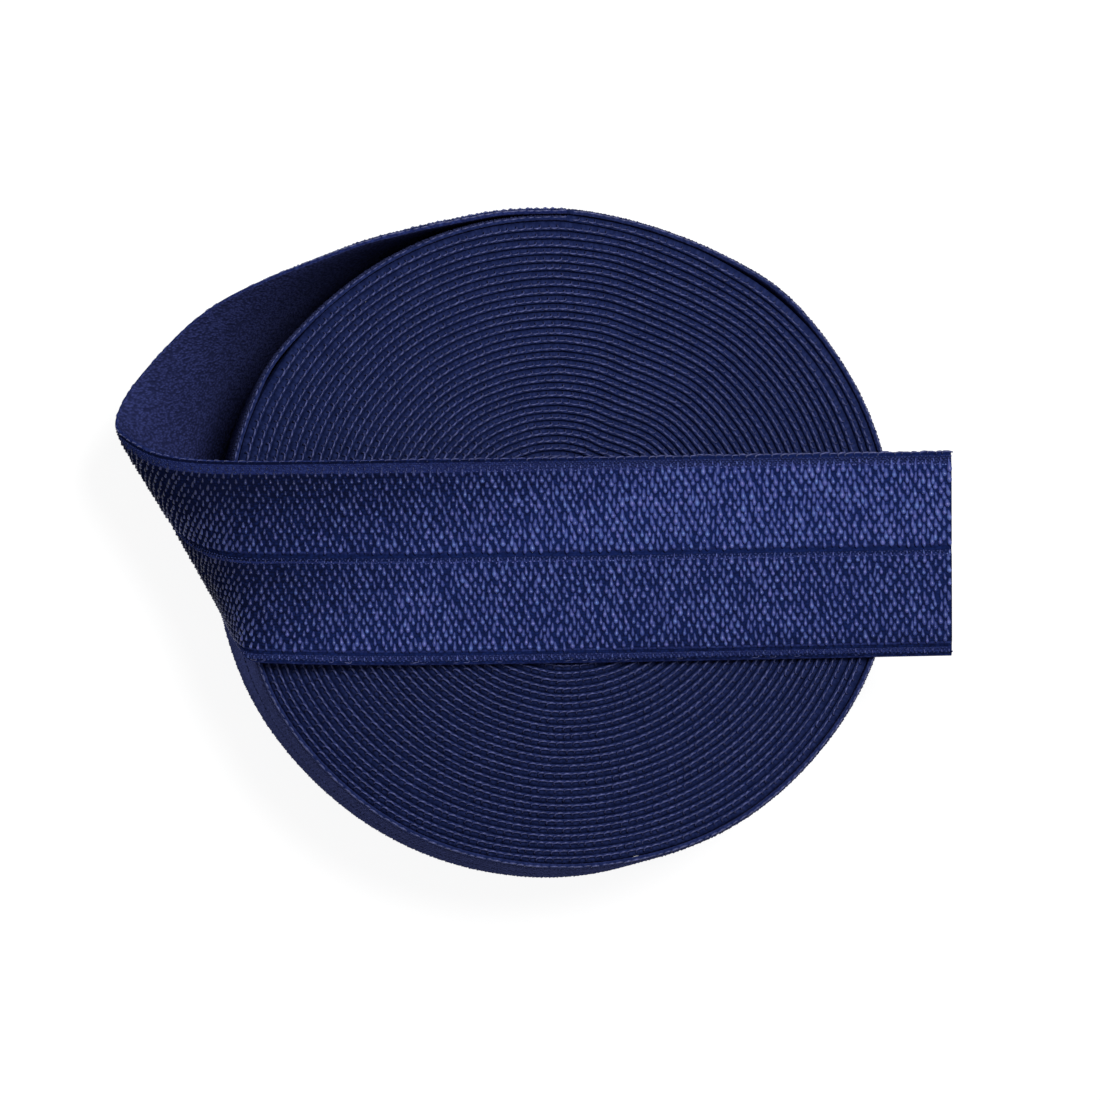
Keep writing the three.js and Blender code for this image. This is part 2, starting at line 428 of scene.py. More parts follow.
def through_rows(points):
    """A smooth line through a table's rows, as a centripetal Catmull-Rom curve."""
    rows = np.array(points, float)
    ends = (2 * rows[0] - rows[1], 2 * rows[-1] - rows[-2])
    padded = np.vstack([ends[0], rows, ends[1]])
    spans = np.sqrt(np.linalg.norm(np.diff(padded, axis=0), axis=1))[:, None]
    share = np.linspace(0, 1, CURVE_STEPS, endpoint=False)[:, None]
    pieces = []
    for i in range(len(rows) - 1):
        p0, p1, p2, p3 = padded[i : i + 4]
        d0, d1, d2 = spans[i : i + 3]
        start = ((p1 - p0) / d0 - (p2 - p0) / (d0 + d1) + (p2 - p1) / d1) * d1
        end = ((p2 - p1) / d1 - (p3 - p1) / (d1 + d2) + (p3 - p2) / d2) * d1
        square = -3 * p1 + 3 * p2 - 2 * start - end
        cube = 2 * p1 - 2 * p2 + start + end
        pieces.append(p1 + start * share + square * share**2 + cube * share**3)
    return np.vstack([*pieces, rows[-1:]])


def run_along(points):
    """How far along a line each of its points is."""
    return np.concatenate([[0], np.cumsum(np.linalg.norm(np.diff(points, axis=0), axis=1))])


def unit(vectors):
    """Vectors of length 1."""
    return vectors / np.linalg.norm(vectors, axis=-1, keepdims=True)


class Stretch:
    """A stretch of tape, by points that face each other on its upper and its lower edge.

    A place on it is a run along the tape and a depth below its upper edge, both on the flat
    tape. Waves is how far the cloth strays from the straight lines across it. Fullness and sheen
    says, from 0 to 1, how full the floats lie at a place, which sets their size, and how bright a
    painted sheen makes them and the ground under them there.
    """

    def __init__(self, upper, lower, waves, fullness):
        self.upper, self.lower, self.waves, self.fullness = upper, lower, waves, fullness
        self.upper_run, lower_run = run_along(upper), run_along(lower)
        self.length = self.upper_run[-1]
        self.lower_run = lower_run * self.length / lower_run[-1]
        self.upper_way, self.lower_way = np.gradient(upper, axis=0), np.gradient(lower, axis=0)

    def row_at(self, run, share):
        """The row, with its fraction, whose line across passes through a place on the tape."""
        numbers = np.arange(len(self.upper))
        low, high = np.zeros(run.shape), np.full(run.shape, numbers[-1], float)
        for _ in range(HALVINGS):
            middle = (low + high) / 2
            upper_run = np.interp(middle, numbers, self.upper_run)
            lower_run = np.interp(middle, numbers, self.lower_run)
            short = upper_run + share * (lower_run - upper_run) < run
            low, high = np.where(short, middle, low), np.where(short, high, middle)
        return (low + high) / 2

    def at(self, run, depth):
        """Points of the tape's middle layer, with its outward and its lengthwise directions."""
        run, depth = np.broadcast_arrays(np.asarray(run, float), np.asarray(depth, float))
        share = depth / (ROLL_HEIGHT * MM)
        row = self.row_at(run, share)
        first = np.minimum(row.astype(int), len(self.upper) - 2)
        part = (row - first)[..., None]

        def between(values):
            return values[first] + part * (values[first + 1] - values[first])

        upper, lower, weight = between(self.upper), between(self.lower), share[..., None]
        along = unit(between(self.upper_way) * (1 - weight) + between(self.lower_way) * weight)
        outward = unit(np.cross(lower - upper, along))
        points = upper + weight * (lower - upper)
        return points + self.waves * cloth_waves(run, depth)[..., None] * outward, outward, along


def cloth_waves(run, depth):
    """Slow unevenness of limp cloth, from -1 to 1, as a few crossing waves."""
    waves = ((0.0173, 0.031, 0.4), (0.0101, -0.019, 2.1), (0.0262, 0.0127, 4.4), (0.0067, 0.0410, 1.3))
    return sum(
        np.sin(math.tau * (run / across + depth / down) + start) for across, down, start in waves
    ) / len(waves)


def slow_unevenness(degrees, rng, periods):
    """Smooth unevenness round and round the roll, from sines of uneven periods in degrees."""
    waves = [np.sin(math.tau * (degrees / period + rng.random())) for period in periods]
    return sum(waves) / math.sqrt(len(periods))


def wound_edges(sizes):
    """Upper and lower edge lines of the wound tape, from the eye out to the take-off, with the
    bearing at each point. The turns step inwards from the outermost one, layer by layer."""
    table = through_rows(OUTLINE)
    bearings = np.arange(TAKE_OFF - 360 * MOST_TURNS, TAKE_OFF + 0.5)
    turn = (TAKE_OFF - bearings) / 360

    def column(name, turns_in=0):
        values = table[:, Outline._fields.index(name)]
        return np.interp(bearings + 360 * turns_in, table[:, 0], values)

    # Past the 14th to the 20th turn in, the turns lie closer and more evenly
    pitch = np.interp(turn, (14, 20), (sizes.outer_spacing / MM, sizes.layer_spacing / MM))
    loose = np.interp(turn, (3, 12, 20), (1, 1, 0))
    pitch += LOOSENESS * loose * np.cos(np.radians(bearings - LOOSEST_BEARING))
    rng = np.random.default_rng(sizes.seed)
    uneven = slow_unevenness(bearings, rng, UNEVEN_PERIODS)
    pitch += UNEVENNESS * uneven * np.interp(turn, (3, 30), (1, 0.3))

    # The first three steps in follow the outline, and the rest the pitch
    settling = np.clip((turn - 3) / 0.2, 0, 1)
    inner = column("third", 2) * (1 - settling) + pitch * settling
    step = np.select([turn <= 1, turn <= 2], [column("room"), column("second", 1)], inner)
    step[turn > 1] = np.maximum(step[turn > 1], LEAST_SPACING)
    upper = ROLL_RADIUS - MIDDLE_LAYER + column("rim")
    lower = ROLL_RADIUS - MIDDLE_LAYER + column("foot")
    for i in range(len(bearings) - 362, -1, -1):
        upper[i] = upper[i + 360] - step[i + 360]
        lower[i] = lower[i + 360] - min(step[i + 360], LARGEST_FOOT_STEP)

    # The outermost turns lean, and after nine turns they stand upright
    middle = (upper + lower) / 2
    settled = np.interp(turn, (1, 9), (0, 1))
    upper, lower = (line + settled * (middle - line) for line in (upper, lower))
    first = int(np.nonzero(middle <= sizes.eye_radius / MM)[0][-1]) + 1
    angle = np.radians(bearings[first:])
    ring = np.stack([np.cos(angle), np.sin(angle)], axis=1)
    height = np.full((len(angle), 1), ROLL_HEIGHT)
    upper_line = np.hstack([ring * upper[first:, None], height]) * MM
    lower_line = np.hstack([ring * lower[first:, None], 0 * height]) * MM
    return upper_line, lower_line, bearings[first:]


def wound_stretches(sizes):
    """The inner turns and the outermost turn, as two stretches of the one tape."""
    upper, lower, bearings = wound_edges(sizes)
    split = int(np.searchsorted(bearings, TAKE_OFF - 360))
    inner = Stretch(upper[: split + 1], lower[: split + 1], 0.0, even_fullness_and_sheen)
    outermost = Stretch(upper[split:], lower[split:], 0.0, even_fullness_and_sheen)
    return inner, outermost


def even_fullness_and_sheen(run, depth):
    """The floats of the wound tape, all alike."""
    return np.full(run.shape, 0.6)


def loose_fullness_and_sheen(run, depth):
    """The floats of the loose end, by size and by painted sheen. They are full and painted bright where
    it leaves the wall, drawn flat and in painted shade round its fold, and fill out under a growing
    painted sheen along the strip on top, first on the lower half of the tape, and first on the lower
    side of each half. Near the cut end they flatten and darken again along the lower selvedge."""
    run, depth = run / MM, depth / MM
    in_lower = depth > FOLD_DEPTH
    aside = (depth - np.where(in_lower, FOLD_DEPTH, 0)) / FOLD_DEPTH - 0.5
    upper_half = (run + 26 * aside - 60) / 46
    flattened = np.clip(4 * aside - 1, 0, 1) * np.clip((run - 98) / 12, 0, 1)
    lower_half = 0.8 * np.clip((run + 10 * aside - 62) / 22, 0, 1) - 0.4 * flattened
    leaving = 0.75 * np.clip((42 - run) / 22, 0, 1)
    return np.clip(np.where(in_lower, lower_half, upper_half), leaving, 1)


def loose_stretch():
    """The loose end, from where it leaves the outermost turn to its cut end."""
    upper = through_rows([bend.upper for bend in BENDS]) * MM
    lower = through_rows([bend.lower for bend in BENDS]) * MM
    return Stretch(upper, lower, CLOTH_WAVES * MM, loose_fullness_and_sheen)


def new_object(name, mesh):
    """Links a new object for a mesh."""
    made = bpy.data.objects.new(name, mesh)
    bpy.context.scene.collection.objects.link(made)
    return made


def build_mesh(name, points, faces=(), edges=()):
    """A mesh from its points and from its faces or edges."""
    mesh = bpy.data.meshes.new(name)
    mesh.from_pydata([tuple(p) for p in points], list(edges), list(faces))
    return mesh


def set_attribute(mesh, name, values, kind="FLOAT", domain="POINT"):
    """Stores an attribute on a mesh."""
    layer = mesh.attributes.new(name, kind, domain)
    field = "value" if kind == "FLOAT" else "vector"
    layer.data.foreach_set(field, np.asarray(values, np.float32).ravel())


def set_flat_places(mesh, places):
    """Gives a mesh the UV map that holds each corner's run along the tape and depth."""
    corner = np.zeros(len(mesh.loops), np.int32)
    mesh.loops.foreach_get("vertex_index", corner)
    layer = mesh.uv_layers.new(name="flat")
    layer.data.foreach_set("uv", np.asarray(places, np.float32)[corner].ravel())


def grid_faces(rows, columns, closed=False):
    """Quads between neighbouring rows of points, all round where the rows are closed."""
    faces = []
    for i in range(rows - 1):
        for j in range(columns if closed else columns - 1):
            k = (j + 1) % columns
            here, after = i * columns, (i + 1) * columns
            faces.append((here + j, here + k, after + k, after + j))
    return faces


def flat_grid(length, step, depths, short=0):
    """Runs along a length, with the run and the depth of each point of a grid on the flat tape.
    The step and how much the grid falls short are in millimetres."""
    runs = np.linspace(0, length - short * MM, round(length / (step * MM)) + 1)
    run, depth = (a.ravel() for a in np.meshgrid(runs, np.asarray(depths) * MM, indexing="ij"))
    return runs, run, depth


def carrier(stretch, step, depths):
    """A plain face along a stretch that stitches are laid out on, with its directions stored.
    It ends a hair short of the tape, so that no stitch overhangs a cut end."""
    runs, run, depth = flat_grid(stretch.length, step, depths, STITCH_END)
    points, outward, along = stretch.at(run, depth)
    mesh = build_mesh("tape_face_carrier", points, grid_faces(len(runs), len(depths)))
    set_attribute(mesh, "outward", outward, "FLOAT_VECTOR")
    set_attribute(mesh, "along", along, "FLOAT_VECTOR")
    set_attribute(mesh, "fullness", stretch.fullness(run, depth))
    set_flat_places(mesh, np.stack([run, depth], axis=1))
    return mesh


def yarn_shape(name, slices, sides):
    """A short piece of yarn with closed ends, from its table of cross-sections."""
    middles = np.array([(cut.along, -cut.down, cut.out) for cut in slices], float)
    ways = unit(np.gradient(middles, axis=0))
    points, rings = [], []
    for middle, way, cut in zip(middles, ways, slices):
        side = unit(np.cross((0, 0, 1), way))
        rise = np.cross(way, side)
        turns = [math.tau * k / sides + math.pi / 2 for k in range(sides if cut.wide else 1)]
        rings.append(range(len(points), len(points) + len(turns)))
        points += [
            middle + cut.wide * math.cos(turn) * side + cut.thick * math.sin(turn) * rise
            for turn in turns
        ]
    faces = []
    for near, far in zip(rings, rings[1:]):
        for k in range(sides):
            corners = (near[k % len(near)], near[(k + 1) % sides % len(near)])
            corners += (far[(k + 1) % sides % len(far)], far[k % len(far)])
            faces.append(tuple(dict.fromkeys(corners)))
    for end, ring in ((0, rings[0]), (1, rings[-1])):
        if len(ring) > 1:
            faces.append(tuple(ring) if end else tuple(reversed(ring)))
    mesh = build_mesh(name, np.array(points) * MM, faces)
    thickest = max(cut.thick for cut in slices)
    crest = [cut.thick / thickest for ring, cut in zip(rings, slices) for _ in ring]
    set_attribute(mesh, "crest", crest)
    shape = new_object(name, mesh)
    face_outwards(shape)
    return shape


def declare_inputs(tree, **names_by_kind):
    """Declares a tree's inputs, with one geometry output, and gives them by name."""
    for kind, names in names_by_kind.items():
        for name in names:
            tree.interface.new_socket(name, in_out="INPUT", socket_type="NodeSocket" + kind)
    tree.interface.new_socket("Geometry", in_out="OUTPUT", socket_type="NodeSocketGeometry")
    return add_node(tree, "NodeGroupInput").node.outputs


def end_tree(tree, geometry, material):
    """Realizes, smooths and paints what a tree has made, as its output."""
    real = add_node(tree, "GeometryNodeRealizeInstances", {"Geometry": geometry})
    smooth = add_node(tree, "GeometryNodeSetShadeSmooth", {"Geometry": real})
    painted = add_node(tree, "GeometryNodeSetMaterial", {"Geometry": smooth, "Material": material})
    add_node(tree, "NodeGroupOutput", {"Geometry": painted})


def stitch_tree():
    """Node tree that lays yarn shapes out in staggered rows on a tape face and follows it."""
    tree = bpy.data.node_groups.new("Stitches on tape", "GeometryNodeTree")
    add = partial(add_node, tree)
    places = ["Column spacing", "Row pitch", "First run", "First depth", "Stagger", "Rise", "Turn"]
    wanted = declare_inputs(
        tree,
        Geometry=["Geometry"],
        Object=["Yarn shape"],
        Int=["Columns", "Rows", "Seed"],
        Float=[*places, "Slant spread", "Place spread", "Size spread"],
        Material=["Material"],
    )
    flat, outward_there, along_there, place_here = (
        add(STORED, {"Name": name}, "Attribute", data_type="FLOAT_VECTOR")
        for name in ("flat", "outward", "along", "place")
    )
    fullness = add(STORED, {"Name": "fullness"}, "Attribute", data_type="FLOAT")

    # Every stitch's number gives its column and its row, and those its run and its depth
    rows = wanted["Rows"]
    count = add(MATH, (wanted["Columns"], rows), operation="MULTIPLY")
    line = add("GeometryNodeMeshLine", {"Count": count, "Offset": (0, 0, 0)}, "Mesh", mode="OFFSET")
    number = add("GeometryNodeInputIndex")
    columns_passed = add(MATH, (number, rows), operation="DIVIDE")
    column = add(MATH, (columns_passed,), operation="FLOOR")
    stitches_passed = add(MATH, (column, rows), operation="MULTIPLY")
    row = add(MATH, (number, stitches_passed), operation="SUBTRACT")
    odd = add(MATH, (row, 2.0), operation="MODULO")
    step = add(MATH, (odd, wanted["Stagger"], column), operation="MULTIPLY_ADD")
    first, spacing = wanted["First run"], wanted["Column spacing"]
    run = add(MATH, (step, spacing, first), operation="MULTIPLY_ADD")
    top, pitch = wanted["First depth"], wanted["Row pitch"]
    depth = add(MATH, (row, pitch, top), operation="MULTIPLY_ADD")

    def chance(kind, low, high, shift):
        """A random value for each stitch, from a seed of its own."""
        seed = add(MATH, (wanted["Seed"], float(shift)), operation="ADD")
        return add("FunctionNodeRandomValue", {"Min": low, "Max": high, "Seed": seed}, data_type=kind)

    strayed = chance("FLOAT_VECTOR", (-1, -1, -1), (1, 1, 1), 1)
    tone = chance("FLOAT", 0.0, 1.0, 2)
    slanted = chance("FLOAT", -1.0, 1.0, 3)
    grown = chance("FLOAT_VECTOR", (-1, -1, -1), (1, 1, 1), 4)
    aside = add(VECTOR_MATH, {"Vector": strayed, "Scale": wanted["Place spread"]}, operation="SCALE")
    laid = add("ShaderNodeCombineXYZ", (run, depth))
    place = add(VECTOR_MATH, (laid, aside), operation="ADD")

    def store(points, name, kind, value):
        """Keeps a value for each stitch on its point, which the finished yarn inherits."""
        sockets = {"Geometry": points, "Name": name, "Value": value}
        return add("GeometryNodeStoreNamedAttribute", sockets, data_type=kind, domain="POINT")

    def on_tape(value, kind="FLOAT_VECTOR"):
        """What the tape face holds at each stitch's place."""
        sockets = {"Mesh": wanted["Geometry"], "Value": value, "UV Map": flat, "Sample UV": place_here}
        return add("GeometryNodeSampleUVSurface", sockets, "Value", data_type=kind)

    # Stitches past the end of the face go, and the rest are put down on it
    points = store(store(line, "place", "FLOAT_VECTOR", place), "tone", "FLOAT", tone)
    spot = on_tape(add("GeometryNodeInputPosition"))
    missing = add("FunctionNodeBooleanMath", (spot.node.outputs["Is Valid"],), operation="NOT")
    missed = {"Geometry": points, "Selection": missing}
    found = add("GeometryNodeDeleteGeometry", missed, domain="POINT")
    filled = store(found, "fullness", "FLOAT", on_tape(fullness, "FLOAT"))
    outward = on_tape(outward_there)
    lift = add(VECTOR_MATH, {"Vector": outward, "Scale": wanted["Rise"]}, operation="SCALE")
    raised = add(VECTOR_MATH, (spot, lift), operation="ADD")
    placed = add("GeometryNodeSetPosition", {"Geometry": filled, "Position": raised})

    # Each follows the face, with a slant and a size of its own, and is plumper where floats are full
    axes = add(
        "FunctionNodeAxesToRotation",
        {"Primary Axis": outward, "Secondary Axis": on_tape(along_there)},
        primary_axis="Z",
        secondary_axis="X",
    )
    slant = add(MATH, (slanted, wanted["Slant spread"], wanted["Turn"]), operation="MULTIPLY_ADD")
    by_slant = {"Rotation": axes, "Rotate By": add("ShaderNodeCombineXYZ", {"Z": slant})}
    turned = add("FunctionNodeRotateRotation", by_slant, rotation_space="LOCAL")
    uneven = add(VECTOR_MATH, {"Vector": grown, "Scale": wanted["Size spread"]}, operation="SCALE")
    whole = add(VECTOR_MATH, (uneven, (1, 1, 1)), operation="ADD")
    plumpness = [add(MATH, (fullness, *line), operation="MULTIPLY_ADD") for line in PLUMPNESS]
    size = add(VECTOR_MATH, (whole, add("ShaderNodeCombineXYZ", plumpness)), operation="MULTIPLY")
    shape = add("GeometryNodeObjectInfo", {"Object": wanted["Yarn shape"]}, "Geometry")
    sockets = {"Points": placed, "Instance": shape, "Rotation": turned, "Scale": size}
    end_tree(tree, add("GeometryNodeInstanceOnPoints", sockets), wanted["Material"])
    return tree


def sweep_tree():
    """Node tree that sweeps the tape's cross-section along its path round and round the roll.
    The cross-section leans out at the top by the path's own lean, and swells on its satin side
    by the path's spare room."""
    tree = bpy.data.node_groups.new("Tape along its path", "GeometryNodeTree")
    add = partial(add_node, tree)
    wanted = declare_inputs(
        tree,
        Geometry=["Geometry"],
        Object=["Cross-section"],
        Float=["Tape width"],
        Material=["Material"],
    )
    lean, run, spare, depth, swells = (
        add(STORED, {"Name": name}, "Attribute", data_type="FLOAT")
        for name in ("lean", "run", "spare", "depth", "swells")
    )
    path = add("GeometryNodeMeshToCurve", {"Mesh": wanted["Geometry"]})
    upright = add("GeometryNodeSetCurveNormal", {"Curve": path}, mode="Z_UP")
    section = add("GeometryNodeObjectInfo", {"Object": wanted["Cross-section"]}, "Geometry")
    profile = add("GeometryNodeMeshToCurve", {"Mesh": section})
    swept = {"Curve": upright, "Profile Curve": profile, "Fill Caps": True}
    tape = add("GeometryNodeCurveToMesh", swept)
    place = add("GeometryNodeInputPosition")
    level = add(VECTOR_MATH, (place, (1, 1, 0)), operation="MULTIPLY")
    radial = add(VECTOR_MATH, {"Vector": level}, operation="NORMALIZE")
    height = add("ShaderNodeSeparateXYZ", {"Vector": place}, "Z")
    share = add(MATH, (height, wanted["Tape width"]), operation="DIVIDE")
    above = add(MATH, (share, 0.5), operation="SUBTRACT")
    swell = add(MATH, (swells, spare), operation="MULTIPLY")
    leaned = add(MATH, (above, lean, swell), operation="MULTIPLY_ADD")
    push = add(VECTOR_MATH, {"Vector": radial, "Scale": leaned}, operation="SCALE")
    pushed = add("GeometryNodeSetPosition", {"Geometry": tape, "Offset": push})
    flat = add("ShaderNodeCombineXYZ", (run, depth))
    corners = {"Geometry": pushed, "Name": "flat", "Value": flat}
    mapped = add("GeometryNodeStoreNamedAttribute", corners, data_type="FLOAT2", domain="CORNER")
    end_tree(tree, mapped, wanted["Material"])
    return tree


def from_nodes(name, mesh, tree, values):
    """The plain object that a node tree makes of a mesh, from values for the tree's inputs."""
    maker = new_object(name + "_maker", mesh)
    modifier = maker.modifiers.new("Made by nodes", "NODES")
    modifier.node_group = tree
    for item in tree.interface.items_tree:
        if item.in_out == "INPUT" and item.name in values:
            modifier[item.identifier] = values[item.name]
    bpy.context.view_layer.update()
    depsgraph = bpy.context.evaluated_depsgraph_get()
    result = bpy.data.meshes.new_from_object(
        maker.evaluated_get(depsgraph), preserve_all_data_layers=True, depsgraph=depsgraph
    )
    bpy.data.objects.remove(maker)
    if not result.polygons:
        raise RuntimeError(f"{name} came out empty")
    result.name = name
    return new_object(name, result)


def face_outwards(piece):
    """Turns the faces of a closed piece outwards."""
    shell = bmesh.new()
    shell.from_mesh(piece.data)
    bmesh.ops.recalc_face_normals(shell, faces=shell.faces)
    shell.to_mesh(piece.data)
    shell.free()


def blank_material(name):
    """A new material with an empty node tree."""
    material = bpy.data.materials.new(name)
    material.use_nodes = True
    material.node_tree.nodes.clear()
    return material


def finish_material(material, surface):
    """Ends a material with its shader, whose sockets the surface gives by name."""
    shader = add_node(material.node_tree, "ShaderNodeBsdfPrincipled", surface)
    add_node(material.node_tree, "ShaderNodeOutputMaterial", {"Surface": shader})
    return material


def finish_cloth(material, blend, relief, surface):
    """Ends a cloth's material. Blend is a share and the two colours that it goes between, and
    relief is a height, its strength and its depth in millimetres."""
    add = partial(add_node, material.node_tree)
    colour = add("ShaderNodeMix", dict(zip(("Factor", "A", "B"), blend)), data_type="RGBA")
    height, strength, depth = relief
    bump = add("ShaderNodeBump", {"Height": height, "Strength": strength, "Distance": depth * MM})
    return finish_material(material, {"Base Color": colour, "Normal": bump, **surface})


def satin_material(colours):
    """Bright polyamide filament yarn, dyed navy. Its floats lie slack over the ground and shine a
    little, each one differently. Most of their soft blue light is painted: a painted highlight on
    each head, painted shade on the tails, and a painted sheen in patches and along the tape."""
    material = blank_material("Satin filament yarn")
    add = partial(add_node, material.node_tree)
    full, crest, tone = (
        add("ShaderNodeAttribute", take="Fac", attribute_name=name)
        for name in ("fullness", "crest", "tone")
    )
    places = add("ShaderNodeTexCoord", take="Object")
    patches, turning, filaments = (
        add("ShaderNodeTexNoise", {"Vector": places, "Scale": scale}, "Fac")
        for scale in (PAINTED_SHEEN_PATCHES, YARN_TURNS, FILAMENTS)
    )

    # Share of the head's colour: by float, by painted sheen in patches and along the tape, and
    # most on the crest, as a painted highlight
    patched = add(MATH, (patches, 1.2, -0.3), operation="MULTIPLY_ADD")
    squared = add(MATH, (tone, tone), operation="MULTIPLY")
    uneven = add(MATH, (squared, 1.2, patched), operation="MULTIPLY_ADD")
    sheen_share = add(MATH, (full, 0.88, 0.12), operation="MULTIPLY_ADD")
    crested = add(MATH, (crest, 3.0), operation="POWER")
    raised = add(MATH, (crested, 0.95, 0.05), operation="MULTIPLY_ADD")
    filled = add(MATH, (sheen_share, raised), operation="MULTIPLY")
    share = add(MATH, (uneven, filled), operation="MULTIPLY")

    # Tails in painted shade, deepest where the painted sheen is low, under heads that turn their
    # colour a little
    turned = add(MATH, (turning, 4.0, -1.5), operation="MULTIPLY_ADD")
    tails = {"Factor": full, "A": colours.satin_flat_shade, "B": colours.satin_tail_shade}
    heads = {"Factor": turned, "A": colours.satin, "B": colours.satin_violet}
    tail, head = (add("ShaderNodeMix", blend, data_type="RGBA") for blend in (tails, heads))
    roughness = add(MATH, (raised, -0.42, 0.7), operation="MULTIPLY_ADD")
    surface = {"Roughness": roughness, "Specular IOR Level": 0.4}
    return finish_cloth(material, (share, tail, head), (filaments, 0.7, 0.05), surface)


def ground_material(name, shade, bright, sheen_gain, grain):
    """Knitted ground of covered elastic, dyed navy: matte and grainy, a small lump for each loop,
    with a painted highlight on top of each loop and painted shade between them. Sheen gain is how
    much a painted sheen brightens it where the floats lie full, and grain how strong the painted
    light and shade of its loops is."""
    material = blank_material(name)
    add = partial(add_node, material.node_tree)
    flat = add("ShaderNodeUVMap", uv_map="flat")
    laid = add("ShaderNodeMapping", {"Vector": flat, "Scale": GROUND_LOOP}, vector_type="TEXTURE")
    loops = {"Vector": laid, "Scale": 1.0, "Randomness": 0.6}
    away = add("ShaderNodeTexVoronoi", loops, "Distance", feature="F1")
    full = add("ShaderNodeAttribute", take="Fac", attribute_name="fullness")

    # Painted highlight on top of each loop, painted shade between them, and painted sheen where
    # the floats lie full
    lumps = add(MATH, (away, -1.4, 1.0), operation="MULTIPLY_ADD")
    least = 0.5 - 0.5 * grain - 0.5 * sheen_gain
    base = add(MATH, (full, sheen_gain, least), operation="MULTIPLY_ADD")
    share = add(MATH, (lumps, grain, base), operation="MULTIPLY_ADD")
    surface = {"Roughness": 0.95, "Specular IOR Level": 0.0}
    return finish_cloth(material, (share, shade, bright), (lumps, 0.7, 0.08), surface)


def plush_material(colour):
    """Brushed polyamide back, dyed navy: matte and velvety, with a fine uneven nap, its tufts
    painted light at their tips and in painted shade between them.
    """
    material = blank_material("Brushed plush back")
    add = partial(add_node, material.node_tree)
    flat = add("ShaderNodeUVMap", uv_map="flat")
    slanted = {"Vector": flat, "Rotation": (0, 0, 0.6), "Scale": PLUSH_TUFT}
    turned = add("ShaderNodeMapping", slanted, vector_type="TEXTURE")
    tufts = {"Vector": turned, "Scale": 1.0}
    away = add("ShaderNodeTexVoronoi", tufts, "Distance", feature="SMOOTH_F1")
    places = add("ShaderNodeTexCoord", take="Object")
    patches = add("ShaderNodeTexNoise", {"Vector": places, "Scale": NAP_PATCHES}, "Fac")

    # Painted highlight at the tip of each tuft, painted shade between the tufts, a little darker in
    # some patches
    nap = add(MATH, (1.0, away), operation="SUBTRACT")
    patched = add(MATH, (patches, 0.5, -1.2), operation="MULTIPLY_ADD")
    share = add(MATH, (nap, 2.2, patched), operation="MULTIPLY_ADD")
    sheen = {"Sheen Weight": 0.04, "Sheen Roughness": 0.5, "Sheen Tint": linear("#8a92c8")}
    surface = {"Roughness": 0.95, "Specular IOR Level": 0.0, **sheen}
    return finish_cloth(material, (share, darker(colour, 0.4), colour), (nap, 1.0, 0.16), surface)


def textured_material(name, colour, shine):
    """Textured polyamide yarn, dyed navy, with painted glints on small turns of filament, a painted
    highlight on its crest and painted shade lower down.
    """
    material = blank_material(name)
    add = partial(add_node, material.node_tree)
    crest, tone = (
        add("ShaderNodeAttribute", take="Fac", attribute_name=name) for name in ("crest", "tone")
    )
    places = add("ShaderNodeTexCoord", take="Object")
    glinting, filaments = (
        add("ShaderNodeTexNoise", {"Vector": places, "Scale": scale}, "Fac")
        for scale in (PAINTED_GLINTS, TEXTURED_FILAMENTS)
    )

    # Painted glints where a turn of filament would catch the light, mostly on the crest, and
    # painted shade away from the crest, down to 42% of the yarn's colour
    glints = add(MATH, (glinting, 3.2, -1.2), operation="MULTIPLY_ADD")
    weighed = add(MATH, (glints, 0.65), operation="MULTIPLY")
    uneven = add(MATH, (tone, 0.35, weighed), operation="MULTIPLY_ADD")
    squared = add(MATH, (crest, crest), operation="MULTIPLY")
    raised = add(MATH, (squared, 0.85, 0.15), operation="MULTIPLY_ADD")
    share = add(MATH, (uneven, raised), operation="MULTIPLY")
    surface = {"Roughness": 0.4, "Specular IOR Level": shine}
    blend = (share, darker(colour, 0.42), colour)
    return finish_cloth(material, blend, (filaments, 0.3, 0.04), surface)


MATERIALS = {}


def material_for(kind):
    """The material of a kind of yarn or cloth, made once."""
    colours = bpy.context.scene.tape_colours
    ground, yarn = ground_material, textured_material
    # Each ground material goes from a colour in painted shade to its lit colour
    field_shade, wall_shade, wound_shade = colours.field_painted_shade, colours.wall_painted_shade, colours.wound_painted_shade
    makers = {
        "satin": lambda: satin_material(colours),
        "ground": lambda: ground("Knitted selvedge", colours.ground_painted_shade, colours.ground, 0, 1),
        "field": lambda: ground("Ground under floats", field_shade, colours.field, 0.8, 0.8),
        "rubbed": lambda: ground("Rubbed wall", wall_shade, colours.wall, 0, 0.7),
        "wound": lambda: ground("Wound edges", wound_shade, colours.wound, 0, 1),
        "plush": lambda: plush_material(colours.plush),
        "edge": lambda: yarn("Textured edge yarn", colours.edge, 0.3),
        "ground_yarn": lambda: yarn("Textured ground yarn", colours.ground_yarn, 0.0),
        "wall": lambda: yarn("Rubbed floats of the wall", colours.wall, 0.0),
    }
    if kind not in MATERIALS:
        MATERIALS[kind] = makers[kind]()
    return MATERIALS[kind]


